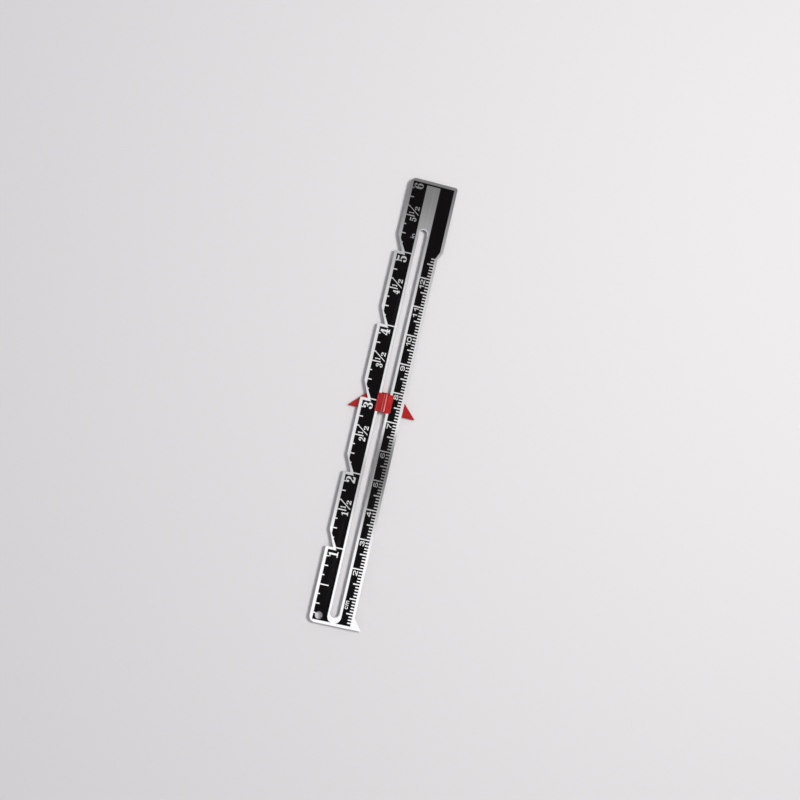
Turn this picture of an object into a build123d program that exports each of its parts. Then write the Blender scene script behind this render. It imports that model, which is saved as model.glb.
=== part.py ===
from build123d import *
import os

# A sewing gauge: a stepped and slotted ruler plate with an inch scale and a
# centimetre scale printed on its face, and a slider that runs in the slot.
# +Z points out of the printed face and +Y runs along the plate to the six
# inch end. The origin is on the slot's centre line, half way along the
# plate, level with the underside of the slider.

# The plate's length, a little more than the six inches marked on it
plate_length = 152.7

# The two scales, both counted from the zero end
inch_pitch = 25.4
inch_count = round(plate_length / inch_pitch)
eighth_count = 8
centimetre_pitch = 10.0
millimetre_count = 10
first_millimetre = 2
first_whole_centimetre = 2

# The plate, with its edges measured from the slot's centre line
plate_thickness = 1.0
inch_edge = 8.2
metric_edge = 6.85
head_edge = 8.2
head_length = 22.95
head_slope_length = 2.65
inch_corner_radius = 2.1
edge_chamfer = 0.1

# The step at each inch and the slant that leads up from it
step_depth = 2.5
slant_length = 5.7
step_corner_radius = 0.3
slant_corner_radius = 0.5

# The spur that carries the zero edge past the centimetre edge
spur_reach = 3.05
spur_length = 4.15

# The slot and the compass hole
slot_width = 2.8
slot_foot_margin = 3.0
slot_head_margin = 16.7
hole_radius = 1.15
hole_edge_margin = 3.0
hole_foot_margin = 2.55

# The black print, and the bare borders that it leaves on the plate
print_thickness = 0.05
inch_border = 1.1
metric_border = 1.0
foot_border = 1.0
top_border = 1.1
head_border = 1.1
step_border = 0.92
slot_border = 0.93
strip_top_band = 0.53
strip_foot_rise = 0.15

# The bare step and the inch line at each inch
bare_step_length = 2.8
bare_slant_start = 0.35
bare_slant_inset = 2.32
bare_slant_length = 4.05
inch_line_width = 0.38

# The graduations, as bare metal left in the print
inch_mark_width = 0.38
half_inch_mark = 2.94
quarter_inch_mark = 1.27
eighth_inch_mark = 0.7
slant_eighth_mark = 1.05
metric_mark_width = 0.42
half_centimetre_mark = 2.23
millimetre_mark = 1.22

# The slider's button, in front of the plate
button_width = 5.45
button_length = 6.3
button_thickness = 1.0
button_shoulder_drop = 0.2
button_side_radius = 0.5
button_end_radius = 0.25
rib_width = 2.0
rib_height = 0.35

# The slider's neck, which fills the slot, and its two snap legs
neck_length = 6.7
neck_lead = 0.25
running_clearance = 0.1
leg_width = 2.0
leg_span = 4.6
leg_gap = 1.6
barb_reach = 0.25
barb_height = 0.35
barb_lip = 0.1

# The slider's pointer, behind the plate
pointer_reach = 11.6
pointer_length = 6.8
pointer_thickness = 1.0
pointer_flank_angle = 46
pointer_tip_radius = 0.12
pointer_edge_radius = 0.15
reading_edge_drop = 3.175
recess_depth = 0.5
snap_clearance = 0.05

# Where the slider stands, as its button's middle past the plate's middle
slider_rest = -0.64

# Levels and places worked out from the sizes above
zero_end = -plate_length / 2
six_end = plate_length / 2
plate_back = pointer_thickness + running_clearance
plate_face = plate_back + plate_thickness
print_face = plate_face + print_thickness
button_back = print_face + running_clearance
slot_foot = zero_end + slot_foot_margin
slot_head = six_end - slot_head_margin
slot_length = slot_head - slot_foot
slot_middle = (slot_head + slot_foot) / 2
head_slope_top = six_end - head_length
head_slope_foot = head_slope_top - head_slope_length
hole_x = -inch_edge + hole_edge_margin
hole_y = zero_end + hole_foot_margin
print_inch_edge = -inch_edge + inch_border
print_metric_edge = metric_edge - metric_border
print_head_edge = head_edge - head_border
print_foot = zero_end + foot_border
print_top = six_end - top_border
strip_half = slot_width / 2 + slot_border
neck_width = slot_width - 2 * running_clearance

# Plate: one blank, stepped along the inch side, then slotted and drilled
with BuildPart() as gauge_plate:
    with BuildSketch(Plane.XY.offset(plate_back)) as plate_outline:
        with BuildLine():
            Polyline(
                (-inch_edge, zero_end),
                (metric_edge + spur_reach, zero_end),
                (metric_edge, zero_end + spur_length),
                (metric_edge, head_slope_foot),
                (head_edge, head_slope_top),
                (head_edge, six_end),
                (-inch_edge, six_end),
                close=True,
            )
        make_face()

        # One step at each inch, with its slant
        for step in range(1, inch_count):
            step_y = zero_end + step * inch_pitch
            with BuildLine():
                Polyline(
                    (-inch_edge, step_y),
                    (-inch_edge + step_depth, step_y),
                    (-inch_edge, step_y + slant_length),
                    close=True,
                )
            make_face(mode=Mode.SUBTRACT)

        # Along the stepped edge the corners alternate: step, slant, step
        step_corners = plate_outline.vertices().group_by(Axis.X)[0].sort_by(Axis.Y)[1:-1:2]
        fillet(step_corners, step_corner_radius)
        slant_corners = plate_outline.vertices().group_by(Axis.X)[0].sort_by(Axis.Y)[2:-1:2]
        fillet(slant_corners, slant_corner_radius)
        head_corners = plate_outline.vertices().group_by(Axis.Y)[-1].sort_by(Axis.X)
        foot_corners = plate_outline.vertices().group_by(Axis.Y)[0].sort_by(Axis.X)
        fillet((head_corners[0], foot_corners[0]), inch_corner_radius)

        with Locations((0, slot_middle)):
            SlotOverall(slot_length, slot_width, rotation=90, mode=Mode.SUBTRACT)
        with Locations((hole_x, hole_y)):
            Circle(hole_radius, mode=Mode.SUBTRACT)
    extrude(amount=plate_thickness)

    # The stamped edges are broken on both faces
    chamfer(gauge_plate.faces().sort_by(Axis.Z)[-1].edges(), edge_chamfer)
    chamfer(gauge_plate.faces().sort_by(Axis.Z)[0].edges(), edge_chamfer)

# Print: a thin black film with the borders and both graduations left bare
with BuildPart() as scale_print:
    with BuildSketch(Plane.XY.offset(plate_face)):
        with BuildLine():
            Polyline(
                (print_inch_edge, print_foot),
                (print_metric_edge, print_foot),
                (print_metric_edge, head_slope_foot),
                (print_head_edge, head_slope_top),
                (print_head_edge, print_top),
                (print_inch_edge, print_top),
                close=True,
            )
        make_face()

        # The bare strip beside the slot, round at its lower end
        strip_foot = slot_foot + strip_foot_rise
        strip_length = print_top - strip_top_band - strip_foot
        with Locations((0, strip_foot)):
            Rectangle(2 * strip_half, strip_length, align=(Align.CENTER, Align.MIN), mode=Mode.SUBTRACT)
            Circle(strip_half, mode=Mode.SUBTRACT)
        with Locations((hole_x, hole_y)):
            Circle(hole_radius + edge_chamfer, mode=Mode.SUBTRACT)

        # At each step the bare border turns in and becomes the inch line
        for step in range(1, inch_count):
            step_y = zero_end + step * inch_pitch
            with BuildLine():
                Polyline(
                    (-inch_edge, step_y - step_border),
                    (print_inch_edge + bare_step_length, step_y - step_border),
                    (print_inch_edge + bare_slant_inset, step_y - inch_line_width / 2),
                    (print_inch_edge + bare_slant_inset, step_y + bare_slant_start),
                    (print_inch_edge, step_y + bare_slant_start + bare_slant_length),
                    (-inch_edge, step_y + bare_slant_start + bare_slant_length),
                    close=True,
                )
            make_face(mode=Mode.SUBTRACT)
            with Locations((-strip_half, step_y)):
                inch_line_length = -strip_half - print_inch_edge - bare_slant_inset
                Rectangle(2 * inch_line_length, inch_line_width, mode=Mode.SUBTRACT)

        # Eighths of an inch: the half is the longest, then the quarters, and
        # the first eighth past a step only nicks the slant
        half_places = []
        quarter_places = []
        eighth_places = []
        slant_places = []
        for mark in range(1, inch_count * eighth_count):
            mark_place = (-inch_edge, zero_end + mark * inch_pitch / eighth_count)
            share_of_inch = mark % eighth_count
            if share_of_inch == eighth_count // 2:
                half_places.append(mark_place)
            elif share_of_inch in (eighth_count // 4, eighth_count - eighth_count // 4):
                quarter_places.append(mark_place)
            elif share_of_inch == 1 and mark > eighth_count:
                slant_places.append(mark_place)
            elif share_of_inch != 0:
                eighth_places.append(mark_place)
        for mark_length, mark_places in (
            (half_inch_mark, half_places),
            (quarter_inch_mark, quarter_places),
            (eighth_inch_mark, eighth_places),
            (slant_eighth_mark, slant_places),
        ):
            with Locations(mark_places):
                Rectangle(
                    inch_border + mark_length,
                    inch_mark_width,
                    align=(Align.MIN, Align.CENTER),
                    mode=Mode.SUBTRACT,
                )

        # Millimetres: whole centimetres run the width of the print, but for the
        # first, which is no longer than a half
        millimetre_pitch = centimetre_pitch / millimetre_count
        last_millimetre = int((head_slope_foot - zero_end) / millimetre_pitch)
        whole_places = []
        middle_places = []
        plain_places = []
        for mark in range(first_millimetre, last_millimetre + 1):
            mark_place = (metric_edge, zero_end + mark * millimetre_pitch)
            if mark % millimetre_count == 0 and mark >= first_whole_centimetre * millimetre_count:
                whole_places.append(mark_place)
            elif mark % (millimetre_count // 2) == 0:
                middle_places.append(mark_place)
            else:
                plain_places.append(mark_place)
        for mark_length, mark_places in (
            (print_metric_edge - strip_half, whole_places),
            (half_centimetre_mark, middle_places),
            (millimetre_mark, plain_places),
        ):
            with Locations(mark_places):
                Rectangle(
                    metric_border + mark_length,
                    metric_mark_width,
                    align=(Align.MAX, Align.CENTER),
                    mode=Mode.SUBTRACT,
                )
    extrude(amount=print_thickness)

# Slider, front piece: ribbed button, slot neck and two barbed snap legs
button_section = Plane(origin=(0, slider_rest, 0), x_dir=(1, 0, 0), z_dir=(0, -1, 0))
leg_section = Plane(origin=(0, slider_rest, 0), x_dir=(0, 1, 0), z_dir=(1, 0, 0))
button_face = button_back + button_thickness
rib_crest = button_face + rib_height
recess_ceiling = recess_depth
barb_foot = recess_ceiling - barb_height

with BuildPart() as slider_button:
    with BuildSketch(button_section) as button_profile:
        with BuildLine():
            Polyline(
                (-rib_width / 2, button_face),
                (-button_width / 2, button_face - button_shoulder_drop),
                (-button_width / 2, button_back),
                (button_width / 2, button_back),
                (button_width / 2, button_face - button_shoulder_drop),
                (rib_width / 2, button_face),
            )
            ThreePointArc((rib_width / 2, button_face), (0, rib_crest), (-rib_width / 2, button_face))
        make_face()
        side_corners = button_profile.vertices().group_by(Axis.X)
        fillet(side_corners[0].sort_by(Axis.Y)[-1], button_side_radius)
        fillet(side_corners[-1].sort_by(Axis.Y)[-1], button_side_radius)
    extrude(amount=button_length / 2, both=True)
    button_ends = slider_button.faces().filter_by(Axis.Y)
    end_edges = button_ends.edges().filter_by_position(
        Axis.Z, button_back + button_end_radius, rib_crest
    )
    fillet(end_edges, button_end_radius)

    with BuildSketch(Plane.XY.offset(pointer_thickness)):
        with Locations((0, slider_rest + neck_lead)):
            SlotOverall(neck_length, neck_width, rotation=90)
    extrude(amount=button_back - pointer_thickness)

    with BuildSketch(leg_section):
        with BuildLine():
            Polyline(
                (leg_gap / 2, pointer_thickness),
                (leg_span / 2, pointer_thickness),
                (leg_span / 2, recess_ceiling),
                (leg_span / 2 + barb_reach, recess_ceiling),
                (leg_span / 2 + barb_reach, recess_ceiling - barb_lip),
                (leg_span / 2, barb_foot),
                (leg_gap / 2, barb_foot),
                close=True,
            )
        make_face()
        mirror(about=Plane.YZ)
    extrude(amount=leg_width / 2, both=True)

# Slider, rear piece: the pointer plate that the legs snap into
with BuildPart() as slider_pointer:
    with BuildSketch() as pointer_outline:
        with Locations((0, slider_rest - reading_edge_drop)):
            Trapezoid(
                2 * pointer_reach,
                pointer_length,
                pointer_flank_angle,
                align=(Align.CENTER, Align.MIN),
            )
        fillet(pointer_outline.vertices().group_by(Axis.Y)[0], pointer_tip_radius)
    extrude(amount=pointer_thickness)
    fillet(slider_pointer.edges().group_by(Axis.Z)[-1], pointer_edge_radius)
    fillet(slider_pointer.edges().group_by(Axis.Z)[0], pointer_edge_radius)

    # A window for the legs, opened out on the back for their barbs
    window_width = leg_width + 2 * snap_clearance
    window_length = leg_span + 2 * snap_clearance
    recess_length = leg_span + 2 * barb_reach + 2 * snap_clearance
    with BuildSketch():
        with Locations((0, slider_rest)):
            Rectangle(window_width, window_length)
    extrude(amount=pointer_thickness, mode=Mode.SUBTRACT)
    with BuildSketch():
        with Locations((0, slider_rest)):
            Rectangle(window_width, recess_length)
    extrude(amount=recess_depth, mode=Mode.SUBTRACT)

gauge_plate.part.label = "gauge_plate"
scale_print.part.label = "scale_print"
slider_button.part.label = "slider_button"
slider_pointer.part.label = "slider_pointer"

os.makedirs("parts", exist_ok=True)
export_step(gauge_plate.part, "parts/gauge_plate.step")
export_step(scale_print.part, "parts/scale_print.step")
export_step(slider_button.part, "parts/slider_button.step")
export_step(slider_pointer.part, "parts/slider_pointer.step")
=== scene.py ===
import math

import bpy
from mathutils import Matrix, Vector


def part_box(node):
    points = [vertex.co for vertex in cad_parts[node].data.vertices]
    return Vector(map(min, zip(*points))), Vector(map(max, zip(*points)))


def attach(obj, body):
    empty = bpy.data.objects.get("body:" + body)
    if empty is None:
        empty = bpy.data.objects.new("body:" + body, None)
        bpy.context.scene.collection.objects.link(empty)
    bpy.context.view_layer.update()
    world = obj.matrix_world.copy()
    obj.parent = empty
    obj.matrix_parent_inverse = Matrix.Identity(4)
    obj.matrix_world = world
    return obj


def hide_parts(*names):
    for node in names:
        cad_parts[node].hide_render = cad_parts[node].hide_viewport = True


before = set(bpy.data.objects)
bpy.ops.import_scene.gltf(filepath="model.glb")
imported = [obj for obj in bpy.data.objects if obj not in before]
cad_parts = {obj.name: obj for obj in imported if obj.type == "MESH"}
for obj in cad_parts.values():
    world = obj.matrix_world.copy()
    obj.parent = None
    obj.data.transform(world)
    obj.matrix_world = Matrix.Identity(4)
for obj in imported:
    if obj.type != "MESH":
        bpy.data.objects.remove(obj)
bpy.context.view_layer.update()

scene = bpy.context.scene
mm = 0.001

# The view is the photograph's: almost straight down, a little from the inch
# side, with the gauge turned thirteen degrees clockwise in the frame.
camera_place = (-35.634 * mm, -21.240 * mm, 368.090 * mm)
camera_turn = (0.035524, -0.121865, 0.228344)
camera_sensor_width = 36
camera_lens = 49.5
camera_nearest = 10 * mm
bpy.ops.object.camera_add(location=camera_place, rotation=camera_turn)
camera = bpy.context.object
camera.name = "photo_camera"
camera.data.sensor_width = camera_sensor_width
camera.data.lens = camera_lens
camera.data.clip_start = camera_nearest
scene.camera = camera
scene.view_settings.view_transform = "Standard"

# The floor is a plain pale sheet of matt card, cool grey, that takes the
# gauge's soft shadow. It isn't part of the object.
floor_colour = (0.765, 0.750, 0.765, 1)
floor_side = 6
floor_clearance = 0.05 * mm


def start_material(name, colour, roughness, metallic=0.0):
    material = bpy.data.materials.new(name)
    material.use_nodes = True
    surface = material.node_tree.nodes["Principled BSDF"]
    surface.inputs["Base Color"].default_value = colour
    surface.inputs["Roughness"].default_value = roughness
    surface.inputs["Metallic"].default_value = metallic
    return material, material.node_tree.nodes, material.node_tree.links, surface


bpy.ops.object.select_all(action="DESELECT")
bpy.ops.mesh.primitive_plane_add(size=floor_side, location=(0, 0, -floor_clearance))
floor = bpy.context.object
floor.name = "floor"
floor_card, nodes, links, surface = start_material("floor_card", floor_colour, roughness=0.9)
surface.inputs["Specular IOR Level"].default_value = 0.1
floor.data.materials.append(floor_card)

# The studio is even and pale. What polished metal sees right overhead is a
# bright ceiling towards the zero end, a dim gap above the middle that is
# deeper over the centimetre side, and a grey far end past the six inch place.
# Two small windows, the brighter one off the centimetre side, put a gleam on
# curved edges, and the walls darken towards the horizon.
room_light = (0.965, 0.965, 1.0, 1)
room_strength = 0.45
backdrop_colour = (0.78, 0.77, 0.80, 1)
horizon_colour = (0.24, 0.24, 0.26, 1)
overhead_start = 0.87
overhead_full = 0.93
ceiling_strength = 1.2
ceiling_low = -0.12
ceiling_high = 0.30
inch_side = 0.093
centimetre_side = 0.098
# Place along the ceiling, and its share of the full strength over each side
ceiling_stops = (
    (-0.084, 0.945, 0.93),
    (-0.064, 0.91, 0.76),
    (-0.041, 0.65, 0.46),
    (-0.019, 0.56, 0.22),
    (-0.002, 0.56, 0.17),
    (0.013, 0.79, 0.20),
    (0.024, 0.78, 0.38),
    (0.036, 0.76, 0.84),
    (0.052, 0.74, 0.74),
    (0.067, 0.74, 0.70),
    (0.100, 0.74, 0.68),
    (0.142, 0.73, 0.68),
    (0.184, 0.49, 0.46),
    (0.238, 0.215, 0.215),
    (0.255, 0.185, 0.185),
)
window_edge = math.cos(math.radians(10))
window_full = math.cos(math.radians(5))
# Where each window stands, and what it adds to the ceiling's strength
windows = (((0.57, 0.03, 0.82), 32.0), ((-0.51, 0.06, 0.86), 8.0))


def add_node(nodes, kind, settings=None, **values):
    """Add a shader node with its settings and its inputs, whose names have _ for a space."""
    node = nodes.new("ShaderNode" + kind)
    for setting, choice in (settings or {}).items():
        setattr(node, setting, choice)
    for socket, value in values.items():
        node.inputs[socket.replace("_", " ")].default_value = value
    return node


world = bpy.data.worlds.new("studio")
scene.world = world
world.use_nodes = True
nodes, links = world.node_tree.nodes, world.node_tree.links
nodes.clear()
direction = add_node(nodes, "TexCoord")
direction_parts = add_node(nodes, "SeparateXYZ")
along = add_node(nodes, "MapRange", From_Min=ceiling_low, From_Max=ceiling_high)
sideways = add_node(nodes, "MapRange", From_Min=inch_side, From_Max=centimetre_side)
overhead = add_node(nodes, "MapRange", From_Min=overhead_start, From_Max=overhead_full)
height = add_node(nodes, "MapRange", From_Max=overhead_start)
links.new(direction.outputs["Generated"], direction_parts.inputs["Vector"])
links.new(direction_parts.outputs["Y"], along.inputs["Value"])
links.new(direction_parts.outputs["X"], sideways.inputs["Value"])
links.new(direction_parts.outputs["Z"], overhead.inputs["Value"])
links.new(direction_parts.outputs["Z"], height.inputs["Value"])

# One ramp along the ceiling for each side, mixed from side to side
ceiling = add_node(nodes, "Mix", {"data_type": "RGBA"})
links.new(sideways.outputs["Result"], ceiling.inputs["Factor"])
for column, side in ((1, "A"), (2, "B")):
    ramp = add_node(nodes, "ValToRGB")
    stops = ramp.color_ramp.elements
    for number, stop_values in enumerate(ceiling_stops):
        share = (stop_values[0] - ceiling_low) / (ceiling_high - ceiling_low)
        level = stop_values[column]
        stop = stops[number] if number < 2 else stops.new(share)
        stop.position = share
        stop.color = (level, level, level, 1)
    links.new(along.outputs["Result"], ramp.inputs["Fac"])
    links.new(ramp.outputs["Color"], ceiling.inputs[side])

wall_colour = [level / ceiling_strength for level in backdrop_colour]
walls = add_node(nodes, "Mix", {"data_type": "RGBA"}, A=horizon_colour, B=wall_colour)
mirrored_colour = add_node(nodes, "Mix", {"data_type": "RGBA"})
mirrored_strength = add_node(nodes, "Value")
mirrored_strength.outputs["Value"].default_value = ceiling_strength
for window_place, window_strength in windows:
    towards_window = add_node(nodes, "VectorMath", {"operation": "DOT_PRODUCT"})
    towards_window.inputs[1].default_value = Vector(window_place).normalized()
    window = add_node(
        nodes, "MapRange", From_Min=window_edge, From_Max=window_full, To_Max=window_strength
    )
    brighter = add_node(nodes, "Math", {"operation": "ADD"})
    links.new(direction.outputs["Generated"], towards_window.inputs[0])
    links.new(towards_window.outputs["Value"], window.inputs["Value"])
    links.new(mirrored_strength.outputs["Value"], brighter.inputs[0])
    links.new(window.outputs["Result"], brighter.inputs[1])
    mirrored_strength = brighter

# What lights the scene, what the camera sees and what is mirrored are apart
path = add_node(nodes, "LightPath")
room = add_node(nodes, "Background", Color=room_light, Strength=room_strength)
seen = add_node(nodes, "Background", Color=backdrop_colour)
mirrored = add_node(nodes, "Background")
mix_mirrored = add_node(nodes, "MixShader")
mix_seen = add_node(nodes, "MixShader")
out = add_node(nodes, "OutputWorld")
links.new(height.outputs["Result"], walls.inputs["Factor"])
links.new(walls.outputs["Result"], mirrored_colour.inputs["A"])
links.new(overhead.outputs["Result"], mirrored_colour.inputs["Factor"])
links.new(ceiling.outputs["Result"], mirrored_colour.inputs["B"])
links.new(mirrored_colour.outputs["Result"], mirrored.inputs["Color"])
links.new(mirrored_strength.outputs["Value"], mirrored.inputs["Strength"])
links.new(path.outputs["Is Glossy Ray"], mix_mirrored.inputs["Fac"])
links.new(room.outputs["Background"], mix_mirrored.inputs[1])
links.new(mirrored.outputs["Background"], mix_mirrored.inputs[2])
links.new(path.outputs["Is Camera Ray"], mix_seen.inputs["Fac"])
links.new(mix_mirrored.outputs["Shader"], mix_seen.inputs[1])
links.new(seen.outputs["Background"], mix_seen.inputs[2])
links.new(mix_seen.outputs["Shader"], out.inputs["Surface"])

# One small lamp stands high off the centimetre side, so that the plate throws
# a narrow shadow to the inch side and into its own slot.
lamp_place = (0.24, 0.14, 0.60)
lamp_width = 0.16
lamp_energy = 2.8
lamp_colour = (1.0, 0.985, 0.96)
bpy.ops.object.light_add(type="AREA", location=lamp_place)
lamp = bpy.context.object
lamp.name = "side_lamp"
lamp.rotation_euler = Vector(lamp_place).to_track_quat("Z", "Y").to_euler()
lamp.data.shape = "DISK"
lamp.data.size = lamp_width
lamp.data.energy = lamp_energy
lamp.data.color = lamp_colour
lamp.visible_glossy = False

# The plate is stamped from rolled aluminium sheet and left bare and satin. It
# keeps faint rolling lines along its length and the fine scuffs of handling.
plate_colour = (0.90, 0.90, 0.91, 1)
plate_dull_colour = (0.80, 0.80, 0.81, 1)
rolling_stretch = 0.012
scuff_gloss_loss = 0.03
scuff_depth_share = -0.6


def effect_group(name, inputs, outputs):
    group = bpy.data.node_groups.new(name, "ShaderNodeTree")
    for socket, value in inputs:
        made = group.interface.new_socket(socket, in_out="INPUT", socket_type="NodeSocketFloat")
        made.default_value = value
    for socket in outputs:
        group.interface.new_socket(socket, in_out="OUTPUT", socket_type="NodeSocketFloat")
    return group, group.nodes.new("NodeGroupInput"), group.nodes.new("NodeGroupOutput")


def add_share(nodes, share):
    """Add a node that puts a share of its first input on top of its third."""
    sum_node = add_node(nodes, "Math", {"operation": "MULTIPLY_ADD"})
    sum_node.inputs[1].default_value = share
    return sum_node


# Scuffs: thin scratches in two directions, broken up so that few are long
scuff_runs = ((0.5, 0.03), (-0.9, 0.05))
scuffs, given, result = effect_group(
    "fine_scuffs", [("Size", 900.0), ("Amount", 1.0)], ["Mask"]
)
place = add_node(scuffs.nodes, "TexCoord")
masks = []
for turn, squeeze in scuff_runs:
    stretch = add_node(scuffs.nodes, "Mapping", Rotation=(0, 0, turn), Scale=(1, squeeze, 1))
    lines = add_node(scuffs.nodes, "TexNoise", Detail=3)
    thin = add_node(scuffs.nodes, "MapRange", From_Min=0.62, From_Max=0.70)
    scuffs.links.new(place.outputs["Object"], stretch.inputs["Vector"])
    scuffs.links.new(stretch.outputs["Vector"], lines.inputs["Vector"])
    scuffs.links.new(given.outputs["Size"], lines.inputs["Scale"])
    scuffs.links.new(lines.outputs["Fac"], thin.inputs["Value"])
    masks.append(thin.outputs["Result"])
both = add_node(scuffs.nodes, "Math", {"operation": "MAXIMUM"})
weaken = add_node(scuffs.nodes, "Math", {"operation": "MULTIPLY"})
scuffs.links.new(masks[0], both.inputs[0])
scuffs.links.new(masks[1], both.inputs[1])
scuffs.links.new(both.outputs["Value"], weaken.inputs[0])
scuffs.links.new(given.outputs["Amount"], weaken.inputs[1])
scuffs.links.new(weaken.outputs["Value"], result.inputs["Mask"])

# Smudges: broad soft patches where fingers have dulled or polished a surface
smudges, given, result = effect_group("smudges", [("Size", 60.0)], ["Mask"])
place = add_node(smudges.nodes, "TexCoord")
patches = add_node(smudges.nodes, "TexNoise", Detail=4, Roughness=0.6)
smudges.links.new(place.outputs["Object"], patches.inputs["Vector"])
smudges.links.new(given.outputs["Size"], patches.inputs["Scale"])
smudges.links.new(patches.outputs["Fac"], result.inputs["Mask"])

plate_metal, nodes, links, surface = start_material(
    "plate_metal", plate_colour, roughness=0.2, metallic=1.0
)
place = add_node(nodes, "TexCoord")
roll = add_node(nodes, "Mapping", Scale=(1, rolling_stretch, 1))
rolling = add_node(nodes, "TexNoise", Scale=2600, Detail=5)
scuffed = add_node(nodes, "Group", {"node_tree": scuffs}, Size=700.0, Amount=1.0)
smudged = add_node(nodes, "Group", {"node_tree": smudges}, Size=70.0)
tone = add_node(nodes, "Mix", {"data_type": "RGBA"}, A=plate_colour, B=plate_dull_colour)
tone_share = add_node(nodes, "MapRange", From_Min=0.35, From_Max=0.75)
gloss = add_node(nodes, "MapRange", From_Min=0.3, From_Max=0.7, To_Min=0.03, To_Max=0.05)
gloss_scuffed = add_share(nodes, scuff_gloss_loss)
relief = add_share(nodes, scuff_depth_share)
bump = add_node(nodes, "Bump", Strength=0.25, Distance=0.002 * mm)
links.new(place.outputs["Object"], roll.inputs["Vector"])
links.new(roll.outputs["Vector"], rolling.inputs["Vector"])
links.new(rolling.outputs["Fac"], tone_share.inputs["Value"])
links.new(tone_share.outputs["Result"], tone.inputs["Factor"])
links.new(tone.outputs["Result"], surface.inputs["Base Color"])
links.new(smudged.outputs["Mask"], gloss.inputs["Value"])
links.new(scuffed.outputs["Mask"], gloss_scuffed.inputs[0])
links.new(gloss.outputs["Result"], gloss_scuffed.inputs[2])
links.new(gloss_scuffed.outputs["Value"], surface.inputs["Roughness"])
links.new(scuffed.outputs["Mask"], relief.inputs[0])
links.new(rolling.outputs["Fac"], relief.inputs[2])
links.new(relief.outputs["Value"], bump.inputs["Height"])
links.new(bump.outputs["Normal"], surface.inputs["Normal"])


def select_only(piece):
    bpy.ops.object.select_all(action="DESELECT")
    piece.select_set(True)
    bpy.context.view_layer.objects.active = piece


merge_distance = 0.001 * mm


def copy_solid(node, name):
    select_only(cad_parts[node])
    bpy.ops.object.duplicate()
    piece = bpy.context.object
    piece.name = name
    bpy.ops.object.mode_set(mode="EDIT")
    bpy.ops.mesh.select_all(action="SELECT")
    bpy.ops.mesh.remove_doubles(threshold=merge_distance)
    bpy.ops.object.mode_set(mode="OBJECT")
    return piece


def cut_away(piece, cutter):
    select_only(piece)
    cut = piece.modifiers.new("cut", "BOOLEAN")
    cut.operation = "DIFFERENCE"
    cut.solver = "EXACT"
    cut.object = cutter
    bpy.ops.object.modifier_apply(modifier=cut.name)
    bpy.data.objects.remove(cutter)


def coat(piece, material):
    piece.data.materials.clear()
    piece.data.materials.append(material)
    for polygon in piece.data.polygons:
        polygon.material_index = 0
        polygon.use_smooth = False


# The corner of the head on the centimetre side is rounded off
head_edge = 8.2 * mm
head_corner_radius = 1.1 * mm
cutter_sides = 96
plate_low, plate_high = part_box("gauge_plate")
plate_middle = (plate_low.z + plate_high.z) / 2
bpy.ops.object.select_all(action="DESELECT")
bpy.ops.mesh.primitive_cylinder_add(
    vertices=cutter_sides,
    radius=head_corner_radius,
    depth=4 * head_corner_radius,
    location=(head_edge - head_corner_radius, plate_high.y - head_corner_radius, plate_middle),
)
kept_round = bpy.context.object
bpy.ops.mesh.primitive_cube_add(
    size=2 * head_corner_radius, location=(head_edge, plate_high.y, plate_middle)
)
corner_cutter = bpy.context.object
cut_away(corner_cutter, kept_round)
plate = copy_solid("gauge_plate", "stamped_plate")
cut_away(plate, corner_cutter)

# The punch has drawn the face down a little around both ends of the slot
slot_radius = 1.4 * mm
slot_end_middles = (-71.95 * mm, 58.25 * mm)
drawn_width = 0.3 * mm
drawn_slope = math.tan(math.radians(25))
cutter_reach = 0.2 * mm
for end_middle in slot_end_middles:
    bpy.ops.object.select_all(action="DESELECT")
    bpy.ops.mesh.primitive_cone_add(
        vertices=cutter_sides,
        radius1=slot_radius - cutter_reach,
        radius2=slot_radius + drawn_width + cutter_reach,
        depth=(drawn_width + 2 * cutter_reach) * drawn_slope,
        location=(0, end_middle, plate_high.z - drawn_width / 2 * drawn_slope),
    )
    cut_away(plate, bpy.context.object)

# Tumbling has broken all the sharp edges that are left
edge_break = 0.1 * mm
sharp_edge_angle = math.radians(70)
broken_edges = plate.modifiers.new("broken_edges", "BEVEL")
broken_edges.width = edge_break
broken_edges.segments = 1
broken_edges.limit_method = "ANGLE"
broken_edges.angle_limit = sharp_edge_angle
bpy.ops.object.modifier_apply(modifier=broken_edges.name)
coat(plate, plate_metal)
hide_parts("gauge_plate")
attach(plate, "gauge")

# The print is black lacquer, screened onto the plate and baked. The borders,
# graduations and numerals are left open in it, so that bare metal shows.
print_colour = (0.0026, 0.0020, 0.0024, 1)
print_worn_colour = (0.0100, 0.0095, 0.0105, 1)
print_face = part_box("scale_print")[1].z
plate_half_length = 76.35 * mm
inch = 25.4 * mm
centimetre = 10 * mm
cut_depth = 1 * mm
outline_steps = 6

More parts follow.
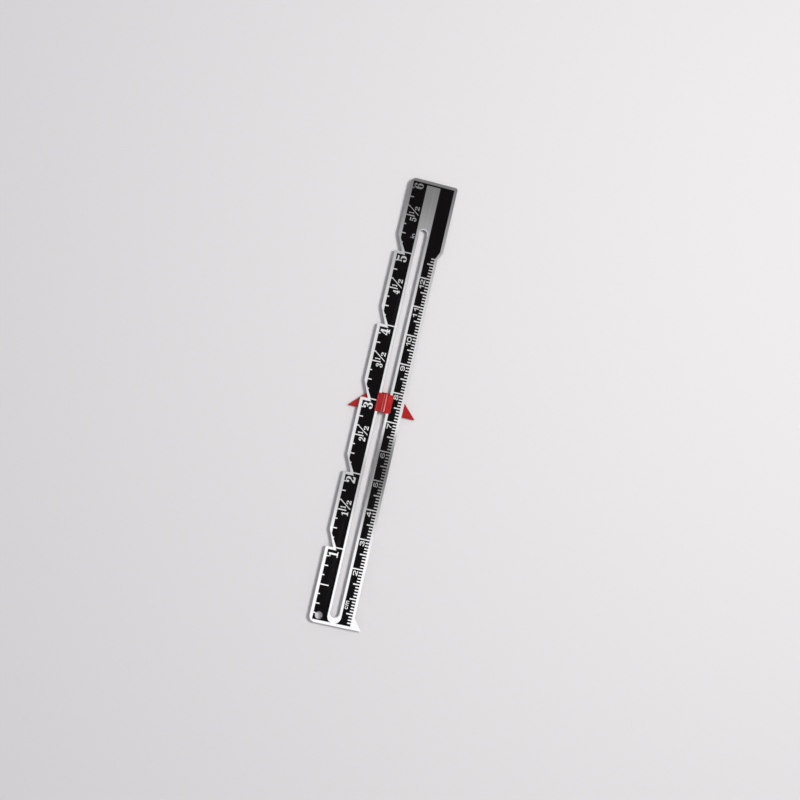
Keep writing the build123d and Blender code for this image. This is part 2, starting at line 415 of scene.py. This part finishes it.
# Outlines of bold numerals with slab feet and ball ends, in shares of their
# height. A point with a 1 is a smooth one and a point with a 0 is a corner.
slab_shares = {
    "1": [[
        (0.08, 0.00, 0), (0.62, 0.00, 0), (0.62, 0.08, 0), (0.46, 0.12, 0), (0.46, 1.00, 0),
        (0.37, 1.00, 0), (0.27, 0.91, 1), (0.09, 0.85, 0), (0.09, 0.77, 0), (0.28, 0.79, 0),
        (0.28, 0.12, 0), (0.08, 0.08, 0),
    ]],
    "2": [[
        (0.04, 0.73, 1), (0.12, 0.92, 1), (0.34, 1.00, 1), (0.56, 0.92, 1), (0.64, 0.73, 1),
        (0.56, 0.54, 1), (0.38, 0.38, 1), (0.25, 0.22, 0), (0.50, 0.20, 1), (0.57, 0.31, 0),
        (0.66, 0.31, 0), (0.62, 0.00, 0), (0.03, 0.00, 0), (0.03, 0.10, 0), (0.14, 0.28, 1),
        (0.33, 0.46, 1), (0.41, 0.62, 1), (0.42, 0.77, 1), (0.38, 0.90, 1), (0.31, 0.93, 1),
        (0.24, 0.89, 1), (0.27, 0.76, 1), (0.22, 0.66, 1), (0.12, 0.64, 1),
    ]],
    "3": [[
        (0.06, 0.78, 1), (0.14, 0.94, 1), (0.34, 1.00, 1), (0.54, 0.93, 1), (0.61, 0.77, 1),
        (0.55, 0.61, 1), (0.44, 0.53, 0), (0.58, 0.45, 1), (0.65, 0.27, 1), (0.56, 0.07, 1),
        (0.32, 0.00, 1), (0.11, 0.07, 1), (0.03, 0.23, 1), (0.09, 0.33, 1), (0.19, 0.33, 1),
        (0.26, 0.24, 1), (0.23, 0.12, 1), (0.31, 0.07, 1), (0.40, 0.12, 1), (0.43, 0.27, 1),
        (0.39, 0.43, 1), (0.28, 0.48, 1), (0.21, 0.48, 0), (0.21, 0.56, 0), (0.29, 0.57, 1),
        (0.38, 0.64, 1), (0.41, 0.78, 1), (0.38, 0.90, 1), (0.32, 0.93, 1), (0.25, 0.90, 1),
        (0.28, 0.79, 1), (0.23, 0.70, 1), (0.13, 0.69, 1),
    ]],
    "4": [
        [
            (0.34, 1.00, 0), (0.54, 1.00, 0), (0.54, 0.37, 0), (0.67, 0.37, 0), (0.67, 0.23, 0),
            (0.54, 0.23, 0), (0.54, 0.11, 0), (0.66, 0.08, 0), (0.66, 0.00, 0), (0.22, 0.00, 0),
            (0.22, 0.08, 0), (0.34, 0.11, 0), (0.34, 0.23, 0), (0.02, 0.23, 0), (0.02, 0.34, 0),
        ],
        [(0.34, 0.37, 0), (0.34, 0.78, 0), (0.12, 0.37, 0)],
    ],
    "5": [[
        (0.09, 1.00, 0), (0.60, 1.00, 0), (0.58, 0.82, 0), (0.17, 0.82, 0), (0.155, 0.59, 0),
        (0.35, 0.65, 1), (0.57, 0.56, 1), (0.65, 0.33, 1), (0.55, 0.08, 1), (0.31, 0.00, 1),
        (0.11, 0.06, 1), (0.03, 0.21, 1), (0.09, 0.32, 1), (0.19, 0.32, 1), (0.26, 0.23, 1),
        (0.23, 0.12, 1), (0.31, 0.07, 1), (0.40, 0.13, 1), (0.43, 0.33, 1), (0.39, 0.51, 1),
        (0.30, 0.57, 1), (0.20, 0.53, 1), (0.14, 0.46, 0), (0.07, 0.46, 0),
    ]],
    "6": [
        [
            (0.02, 0.47, 1), (0.11, 0.83, 1), (0.37, 1.00, 1), (0.56, 0.94, 1), (0.63, 0.80, 1),
            (0.57, 0.71, 1), (0.47, 0.71, 1), (0.40, 0.79, 1), (0.43, 0.90, 1), (0.37, 0.93, 1),
            (0.27, 0.84, 1), (0.235, 0.62, 1), (0.25, 0.55, 0), (0.39, 0.62, 1), (0.59, 0.54, 1),
            (0.66, 0.32, 1), (0.58, 0.08, 1), (0.35, 0.00, 1), (0.11, 0.11, 1),
        ],
        [
            (0.35, 0.55, 1), (0.43, 0.47, 1), (0.45, 0.31, 1), (0.43, 0.14, 1), (0.35, 0.07, 1),
            (0.27, 0.15, 1), (0.24, 0.31, 1), (0.27, 0.47, 1),
        ],
    ],
    "/": [[(0.02, 0.00, 0), (0.13, 0.00, 0), (1.00, 1.00, 0), (0.89, 1.00, 0)]],
}

# Outlines of plain bold numerals and letters, in shares of their width and
# their height. The nine is a six turned round.
plain_shares = {
    "0": [
        [
            (0.00, 0.50, 1), (0.12, 0.86, 1), (0.50, 1.00, 1), (0.88, 0.86, 1), (1.00, 0.50, 1),
            (0.88, 0.14, 1), (0.50, 0.00, 1), (0.12, 0.14, 1),
        ],
        [
            (0.18, 0.50, 1), (0.26, 0.74, 1), (0.50, 0.82, 1), (0.74, 0.74, 1), (0.82, 0.50, 1),
            (0.74, 0.26, 1), (0.50, 0.18, 1), (0.26, 0.26, 1),
        ],
    ],
    "1": [[
        (0.70, 0.00, 0), (1.00, 0.00, 0), (1.00, 1.00, 0), (0.68, 1.00, 0), (0.42, 0.85, 1),
        (0.04, 0.77, 0), (0.00, 0.59, 0), (0.40, 0.65, 1), (0.70, 0.76, 0),
    ]],
    "2": [[
        (0.00, 0.00, 0), (1.00, 0.00, 0), (1.00, 0.18, 0), (0.34, 0.18, 0), (0.62, 0.36, 1),
        (0.90, 0.54, 1), (0.98, 0.72, 1), (0.86, 0.93, 1), (0.50, 1.00, 1), (0.14, 0.92, 1),
        (0.02, 0.70, 0), (0.20, 0.67, 0), (0.28, 0.78, 1), (0.50, 0.83, 1), (0.73, 0.79, 1),
        (0.80, 0.70, 1), (0.70, 0.58, 1), (0.40, 0.40, 1), (0.08, 0.20, 1),
    ]],
    "3": [[
        (0.00, 0.28, 0), (0.19, 0.32, 0), (0.28, 0.21, 1), (0.50, 0.17, 1), (0.74, 0.20, 1),
        (0.82, 0.31, 1), (0.72, 0.42, 1), (0.50, 0.45, 1), (0.38, 0.45, 0), (0.38, 0.61, 0),
        (0.50, 0.61, 1), (0.70, 0.65, 1), (0.77, 0.73, 1), (0.70, 0.81, 1), (0.50, 0.84, 1),
        (0.30, 0.81, 1), (0.22, 0.70, 0), (0.03, 0.72, 0), (0.15, 0.93, 1), (0.50, 1.00, 1),
        (0.84, 0.93, 1), (0.95, 0.74, 1), (0.87, 0.58, 1), (0.78, 0.53, 0), (0.92, 0.45, 1),
        (1.00, 0.29, 1), (0.86, 0.07, 1), (0.50, 0.00, 1), (0.14, 0.07, 1),
    ]],
    "4": [
        [
            (0.60, 0.00, 0), (0.78, 0.00, 0), (0.78, 0.22, 0), (1.00, 0.22, 0), (1.00, 0.39, 0),
            (0.78, 0.39, 0), (0.78, 1.00, 0), (0.54, 1.00, 0), (0.00, 0.40, 0), (0.00, 0.22, 0),
            (0.60, 0.22, 0),
        ],
        [(0.60, 0.39, 0), (0.24, 0.39, 0), (0.60, 0.79, 0)],
    ],
    "5": [[
        (0.12, 1.00, 0), (0.92, 1.00, 0), (0.92, 0.82, 0), (0.27, 0.82, 0), (0.23, 0.60, 0),
        (0.50, 0.65, 1), (0.85, 0.56, 1), (1.00, 0.33, 1), (0.86, 0.08, 1), (0.50, 0.00, 1),
        (0.14, 0.07, 1), (0.00, 0.27, 0), (0.19, 0.30, 0), (0.28, 0.20, 1), (0.50, 0.17, 1),
        (0.73, 0.21, 1), (0.81, 0.33, 1), (0.72, 0.44, 1), (0.50, 0.49, 1), (0.30, 0.46, 1),
        (0.22, 0.40, 0), (0.04, 0.42, 0),
    ]],
    "6": [
        [
            (0.80, 0.72, 0), (0.98, 0.75, 0), (0.86, 0.94, 1), (0.54, 1.00, 1), (0.16, 0.88, 1),
            (0.00, 0.47, 1), (0.14, 0.10, 1), (0.50, 0.00, 1), (0.86, 0.09, 1), (1.00, 0.32, 1),
            (0.86, 0.55, 1), (0.52, 0.63, 1), (0.28, 0.58, 1), (0.19, 0.51, 0), (0.28, 0.75, 1),
            (0.54, 0.84, 1), (0.73, 0.81, 1),
        ],
        [
            (0.52, 0.47, 1), (0.74, 0.43, 1), (0.81, 0.32, 1), (0.73, 0.21, 1), (0.51, 0.17, 1),
            (0.29, 0.21, 1), (0.21, 0.32, 1), (0.29, 0.43, 1),
        ],
    ],
    "7": [[
        (0.00, 1.00, 0), (1.00, 1.00, 0), (1.00, 0.85, 0), (0.66, 0.48, 1), (0.46, 0.00, 0),
        (0.25, 0.00, 0), (0.44, 0.44, 1), (0.76, 0.82, 0), (0.00, 0.82, 0),
    ]],
    "8": [
        [
            (0.50, 1.00, 1), (0.84, 0.93, 1), (0.94, 0.74, 1), (0.86, 0.59, 1), (0.78, 0.53, 0),
            (0.91, 0.45, 1), (1.00, 0.28, 1), (0.87, 0.07, 1), (0.50, 0.00, 1), (0.13, 0.07, 1),
            (0.00, 0.28, 1), (0.09, 0.45, 1), (0.22, 0.53, 0), (0.14, 0.59, 1), (0.06, 0.74, 1),
            (0.16, 0.93, 1),
        ],
        [
            (0.50, 0.84, 1), (0.70, 0.81, 1), (0.76, 0.72, 1), (0.70, 0.63, 1), (0.50, 0.60, 1),
            (0.30, 0.63, 1), (0.24, 0.72, 1), (0.30, 0.81, 1),
        ],
        [
            (0.50, 0.44, 1), (0.74, 0.40, 1), (0.81, 0.29, 1), (0.73, 0.20, 1), (0.50, 0.17, 1),
            (0.27, 0.20, 1), (0.19, 0.29, 1), (0.26, 0.40, 1),
        ],
    ],
    "c": [[
        (0.96, 0.66, 0), (0.86, 0.90, 1), (0.54, 1.00, 1), (0.16, 0.88, 1), (0.00, 0.50, 1),
        (0.16, 0.12, 1), (0.54, 0.00, 1), (0.86, 0.10, 1), (0.97, 0.34, 0), (0.73, 0.37, 0),
        (0.68, 0.24, 1), (0.54, 0.19, 1), (0.34, 0.26, 1), (0.25, 0.50, 1), (0.34, 0.74, 1),
        (0.54, 0.81, 1), (0.68, 0.76, 1), (0.73, 0.63, 0),
    ]],
    "m": [[
        (0.00, 0.00, 0), (0.15, 0.00, 0), (0.15, 0.60, 0), (0.20, 0.76, 1), (0.31, 0.81, 1),
        (0.40, 0.76, 1), (0.43, 0.62, 0), (0.43, 0.00, 0), (0.58, 0.00, 0), (0.58, 0.60, 0),
        (0.63, 0.76, 1), (0.73, 0.81, 1), (0.82, 0.76, 1), (0.85, 0.62, 0), (0.85, 0.00, 0),
        (1.00, 0.00, 0), (1.00, 0.64, 0), (0.93, 0.92, 1), (0.77, 1.00, 1), (0.62, 0.95, 1),
        (0.54, 0.84, 0), (0.47, 0.95, 1), (0.34, 1.00, 1), (0.21, 0.94, 1), (0.15, 0.85, 0),
        (0.15, 0.98, 0), (0.00, 0.98, 0),
    ]],
    "i": [
        [(0.00, 0.00, 0), (1.00, 0.00, 0), (1.00, 0.68, 0), (0.00, 0.68, 0)],
        [(0.00, 0.82, 0), (1.00, 0.82, 0), (1.00, 1.00, 0), (0.00, 1.00, 0)],
    ],
    "n": [[
        (0.00, 0.00, 0), (0.24, 0.00, 0), (0.24, 0.56, 0), (0.34, 0.74, 1), (0.52, 0.80, 1),
        (0.70, 0.74, 1), (0.76, 0.58, 0), (0.76, 0.00, 0), (1.00, 0.00, 0), (1.00, 0.62, 0),
        (0.90, 0.90, 1), (0.60, 1.00, 1), (0.36, 0.94, 1), (0.24, 0.86, 0), (0.24, 0.98, 0),
        (0.00, 0.98, 0),
    ]],
}
plain_shares["9"] = [
    [(1 - across, 1 - up, smooth) for across, up, smooth in outline] for outline in plain_shares["6"]
]

cutters = []


def cut_shape(outlines, foot, width, rise, start):
    """Make a cutter that reaches through the print, a quarter turn round on its foot line."""
    curve = bpy.data.curves.new("open_shape", "CURVE")
    curve.dimensions = "2D"
    curve.fill_mode = "BOTH"
    curve.resolution_u = outline_steps
    for shares in outlines:
        spline = curve.splines.new("BEZIER")
        spline.bezier_points.add(len(shares) - 1)
        spline.use_cyclic_u = True
        for point, (across, up, smooth) in zip(spline.bezier_points, shares):
            point.co = (across, up, 0)
            point.handle_left_type = point.handle_right_type = "AUTO" if smooth else "VECTOR"
    piece = bpy.data.objects.new("open_shape", curve)
    scene.collection.objects.link(piece)
    select_only(piece)
    bpy.ops.object.convert(target="MESH")
    piece = bpy.context.object
    low_across = min(vertex.co.x for vertex in piece.data.vertices)
    high_across = max(vertex.co.x for vertex in piece.data.vertices)
    for vertex in piece.data.vertices:
        along = start + width * (vertex.co.x - low_across) / (high_across - low_across)
        vertex.co = (foot - vertex.co.y * rise, along, print_face - cut_depth / 2)
    bpy.ops.object.mode_set(mode="EDIT")
    bpy.ops.mesh.select_all(action="SELECT")
    bpy.ops.mesh.extrude_region_move(TRANSFORM_OT_translate={"value": (0, 0, cut_depth)})
    bpy.ops.mesh.select_all(action="SELECT")
    bpy.ops.mesh.normals_make_consistent(inside=False)
    bpy.ops.object.mode_set(mode="OBJECT")
    cutters.append(piece)


# Large inch numerals, each just short of its inch line
inch_numeral_foot = -3.45 * mm
inch_numeral_rise = 3.15 * mm
inch_numeral_width = 2.10 * mm
inch_numeral_gap = 1.32 * mm
narrow_inch_width = 1.92 * mm
for count in range(1, 7):
    line = count * inch - plate_half_length
    width = narrow_inch_width if count in (1, 6) else inch_numeral_width
    start = line - inch_numeral_gap - width
    cut_shape(slab_shares[str(count)], inch_numeral_foot, width, inch_numeral_rise, start)

# Halves: a whole numeral before the half inch mark and a fraction after it.
# The fraction's rows give a shape, its foot, width, rise and start, in mm.
half_numeral_foot = -3.28 * mm
half_numeral_rise = 2.25 * mm
half_numeral_width = 1.30 * mm
half_numeral_gap = 0.48 * mm
half_fraction = (
    ("1", -4.58, 0.80, 1.75, 0.52),
    ("2", -3.04, 1.35, 1.60, 2.05),
    ("/", -2.94, 3.00, 3.81, 0.40),
)
for count in range(1, 6):
    line = (count + 0.5) * inch - plate_half_length
    start = line - half_numeral_gap - half_numeral_width
    cut_shape(
        slab_shares[str(count)], half_numeral_foot, half_numeral_width, half_numeral_rise, start
    )
    for shape, foot, width, rise, past_mark in half_fraction:
        cut_shape(slab_shares[shape], foot * mm, width * mm, rise * mm, line + past_mark * mm)

# Centimetre numerals, each just short of its line, from the second one on
centimetre_numeral_foot = 4.30 * mm
centimetre_numeral_rise = 1.54 * mm
centimetre_numeral_width = 1.72 * mm
centimetre_one_width = 1.02 * mm
centimetre_numeral_gap = 0.58 * mm
centimetre_numeral_pitch = 2.07 * mm
for count in range(2, 13):
    line = count * centimetre - plate_half_length
    for digit_place, digit in enumerate(reversed(str(count))):
        width = centimetre_one_width if digit == "1" else centimetre_numeral_width
        start = line - centimetre_numeral_gap - digit_place * centimetre_numeral_pitch - width
        cut_shape(
            plain_shares[digit], centimetre_numeral_foot, width, centimetre_numeral_rise, start
        )

# Each scale says once, in small letters, what it counts. A row gives a letter,
# its foot, width, rise and place along the plate, in mm.
unit_letters = (
    ("i", -2.60, 0.27, 1.35, 55.95),
    ("n", -2.60, 0.95, 0.92, 56.50),
    ("c", 3.72, 0.98, 1.05, -70.00),
    ("m", 3.72, 1.55, 1.05, -68.75),
)
for letter, foot, width, rise, start in unit_letters:
    cut_shape(plain_shares[letter], foot * mm, width * mm, rise * mm, start * mm)

for piece in cutters:
    piece.select_set(True)
bpy.context.view_layer.objects.active = cutters[0]
bpy.ops.object.join()
numeral_cutter = bpy.context.object
printed = copy_solid("scale_print", "printed_scale")
cut_away(printed, numeral_cutter)

black_print, nodes, links, surface = start_material("black_print", print_colour, roughness=0.35)
surface.inputs["IOR"].default_value = 1.48
surface.inputs["Specular IOR Level"].default_value = 0.05
place = add_node(nodes, "TexCoord")
scuffed = add_node(nodes, "Group", {"node_tree": scuffs}, Size=500.0, Amount=0.5)
smudged = add_node(nodes, "Group", {"node_tree": smudges}, Size=110.0)
tone = add_node(nodes, "Mix", {"data_type": "RGBA"}, A=print_colour, B=print_worn_colour)
gloss = add_node(nodes, "MapRange", From_Min=0.3, From_Max=0.7, To_Min=0.30, To_Max=0.42)
grain = add_node(nodes, "TexNoise", Scale=9000)
bump = add_node(nodes, "Bump", Strength=0.3, Distance=0.003 * mm)
links.new(place.outputs["Object"], grain.inputs["Vector"])
links.new(grain.outputs["Fac"], bump.inputs["Height"])
links.new(bump.outputs["Normal"], surface.inputs["Normal"])
links.new(scuffed.outputs["Mask"], tone.inputs["Factor"])
links.new(tone.outputs["Result"], surface.inputs["Base Color"])
links.new(smudged.outputs["Mask"], gloss.inputs["Value"])
links.new(gloss.outputs["Result"], surface.inputs["Roughness"])
coat(printed, black_print)
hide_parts("scale_print")
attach(printed, "gauge")

# The slider is moulded in bright red plastic: a ribbed button in front of the
# plate and a pointer behind it, snapped together through the slot.
slider_red = (0.405, 0.006, 0.006, 1)
slider_deep_red = (0.350, 0.004, 0.004, 1)
slider_scuff_gloss_loss = 0.08
slider_plastic, nodes, links, surface = start_material(
    "slider_plastic", slider_red, roughness=0.2
)
surface.inputs["IOR"].default_value = 1.49
surface.inputs["Specular IOR Level"].default_value = 0.35
surface.inputs["Subsurface Weight"].default_value = 0.15
surface.inputs["Subsurface Radius"].default_value = (1.0, 0.2, 0.1)
surface.inputs["Subsurface Scale"].default_value = 0.6 * mm
place = add_node(nodes, "TexCoord")
scuffed = add_node(nodes, "Group", {"node_tree": scuffs}, Size=900.0, Amount=0.8)
smudged = add_node(nodes, "Group", {"node_tree": smudges}, Size=300.0)
tone = add_node(nodes, "Mix", {"data_type": "RGBA"}, A=slider_deep_red, B=slider_red)
tone_share = add_node(nodes, "MapRange", From_Min=0.3, From_Max=0.6)
gloss = add_node(nodes, "MapRange", From_Min=0.3, From_Max=0.7, To_Min=0.15, To_Max=0.20)
gloss_scuffed = add_share(nodes, slider_scuff_gloss_loss)
moulded = add_node(nodes, "TexNoise", Scale=1500)
bump = add_node(nodes, "Bump", Strength=0.3, Distance=0.01 * mm)
links.new(place.outputs["Object"], moulded.inputs["Vector"])
links.new(moulded.outputs["Fac"], bump.inputs["Height"])
links.new(bump.outputs["Normal"], surface.inputs["Normal"])
links.new(smudged.outputs["Mask"], tone_share.inputs["Value"])
links.new(tone_share.outputs["Result"], tone.inputs["Factor"])
links.new(tone.outputs["Result"], surface.inputs["Base Color"])
links.new(smudged.outputs["Mask"], gloss.inputs["Value"])
links.new(scuffed.outputs["Mask"], gloss_scuffed.inputs[0])
links.new(gloss.outputs["Result"], gloss_scuffed.inputs[2])
links.new(gloss_scuffed.outputs["Value"], surface.inputs["Roughness"])
for node in ("slider_button", "slider_pointer"):
    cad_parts[node].material_slots[0].material = slider_plastic
